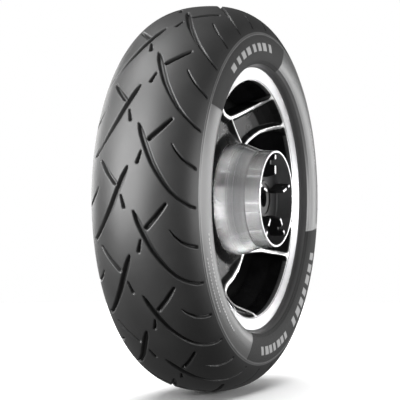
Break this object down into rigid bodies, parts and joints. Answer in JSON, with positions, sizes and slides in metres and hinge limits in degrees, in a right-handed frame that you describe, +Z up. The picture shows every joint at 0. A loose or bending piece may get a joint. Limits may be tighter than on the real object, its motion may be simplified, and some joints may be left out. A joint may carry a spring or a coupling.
{
  "type": "rear motorcycle tyre and wheel",
  "caption": "Wide radial rear motorcycle tyre with a curved-groove tread, fitted on a dished cast spoke wheel with an open drive cup, sealed ball bearings and a valve.",
  "frame": {"origin": "on the spin axis, in the middle plane of the rim and tyre", "axes": "+Y along the spin axis towards the brake disc side, so the drive cup points to -Y; +Z up; +X to the right when the drive side is looked at"},
  "size_m": [0.6399, 0.206, 0.64],
  "materials": {
    "tyre_rubber": "matte",
    "cord_layer": "matte",
    "ply_cord": "matte",
    "inner_rubber": "matte",
    "bead_wire": "satin",
    "wheel_casting": "gloss",
    "turned_alloy": "satin",
    "hub_ribs": "satin",
    "bearing_steel": "polished",
    "cage_brass": "satin",
    "seal_rubber": "satin",
    "spacer_steel": "satin",
    "valve_brass": "satin",
    "valve_steel": "satin",
    "cap_plastic": "matte",
    "weight_metal": "satin"
  },
  "bodies": {
    "axle_core": {"bearing_drive_inner": "bearing_steel", "bearing_disc_inner": "bearing_steel", "spacer_tube": "spacer_steel"},
    "wheel": {"tread_band": "tyre_rubber", "sidewall_drive": "tyre_rubber", "sidewall_disc": "tyre_rubber", "belt": "cord_layer", "carcass_ply": "ply_cord", "inner_liner": "inner_rubber", "bead_core_drive": "bead_wire", "bead_core_disc": "bead_wire", "bead_filler_drive": "inner_rubber", "bead_filler_disc": "inner_rubber", "wheel_rim": "wheel_casting", "wheel_spokes": "wheel_casting", "hub_core": "wheel_casting", "hub_cup": "turned_alloy", "cup_ribs": "hub_ribs", "bearing_drive_outer": "bearing_steel", "bearing_disc_outer": "bearing_steel", "dust_seal_drive": "seal_rubber", "dust_seal_disc": "seal_rubber", "valve_stem": "valve_brass", "valve_grommet": "seal_rubber", "valve_nut": "valve_steel", "valve_core": "valve_brass", "balance_weights": "weight_metal"},
    "drive_balls": {"bearing_drive_balls": "bearing_steel", "bearing_drive_cage": "cage_brass"},
    "disc_balls": {"bearing_disc_balls": "bearing_steel", "bearing_disc_cage": "cage_brass"},
    "valve_pin": {"valve_pin": "valve_steel"},
    "valve_cap": {"valve_cap": "cap_plastic", "cap_seal": "seal_rubber"}
  },
  "joints": [
    {"name": "wheel_spin", "type": "hinge", "parent": "axle_core", "child": "wheel", "pos_m": [0, 0, 0], "axis": [0, 1, 0], "continuous": true},
    {"name": "drive_balls_spin", "type": "hinge", "parent": "axle_core", "child": "drive_balls", "pos_m": [0, -0.0775, 0], "axis": [0, 1, 0], "continuous": true},
    {"name": "disc_balls_spin", "type": "hinge", "parent": "axle_core", "child": "disc_balls", "pos_m": [0, 0.0505, 0], "axis": [0, 1, 0], "continuous": true},
    {"name": "valve_pin_press", "type": "slide", "parent": "wheel", "child": "valve_pin", "axis": [-0.9945, 0, -0.1045], "range_m": [0, 0.0015], "stiffness_N_per_m": 300, "springref_m": -0.0005},
    {"name": "valve_cap_off", "type": "slide", "parent": "wheel", "child": "valve_cap", "axis": [0.9945, 0, 0.1045], "range_m": [0, 0.014]}
  ],
  "couplings": [
    {"joint": "drive_balls_spin", "follows": "wheel_spin", "ratio": 0.6031},
    {"joint": "disc_balls_spin", "follows": "wheel_spin", "ratio": 0.6031}
  ]
}
